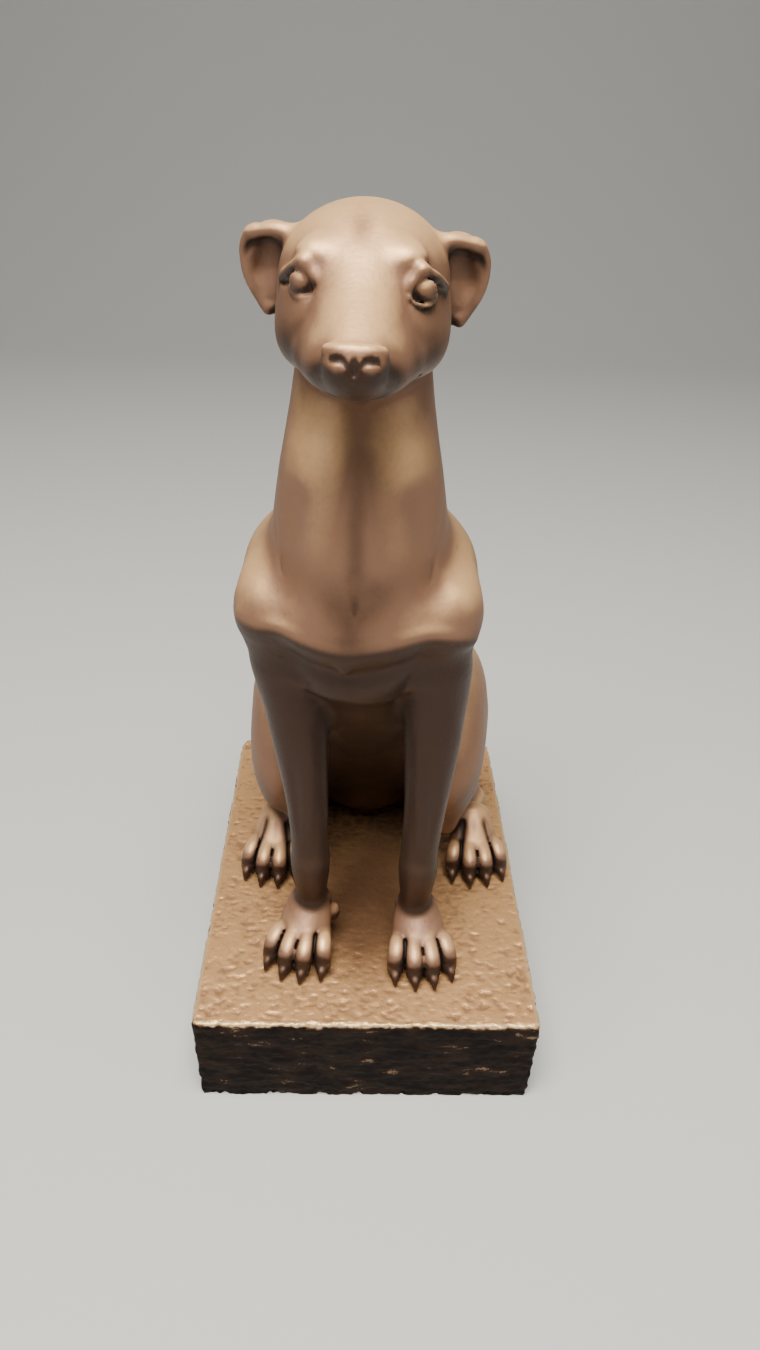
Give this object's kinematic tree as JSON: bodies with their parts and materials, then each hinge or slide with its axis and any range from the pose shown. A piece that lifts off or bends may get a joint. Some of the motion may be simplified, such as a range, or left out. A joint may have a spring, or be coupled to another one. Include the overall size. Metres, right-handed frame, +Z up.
{
  "type": "sitting greyhound statue",
  "caption": "Slender dog sitting upright with folded ears and a long neck, on a rough rectangular plinth.",
  "frame": {"origin": "middle of the plinth's underside", "axes": "+Z up, -Y the way the dog looks and +X to its left, the plinth's long side along Y"},
  "size_m": [0.1269, 0.1926, 0.3051],
  "materials": {
    "bronze_paint": "satin bronze paint on cast resin, darker below the chest",
    "rough_bronze_paint": "bronze paint over a hammered top and rough dark sides"
  },
  "bodies": {
    "root": {"greyhound": "bronze_paint", "plinth": "rough_bronze_paint"}
  },
  "joints": []
}
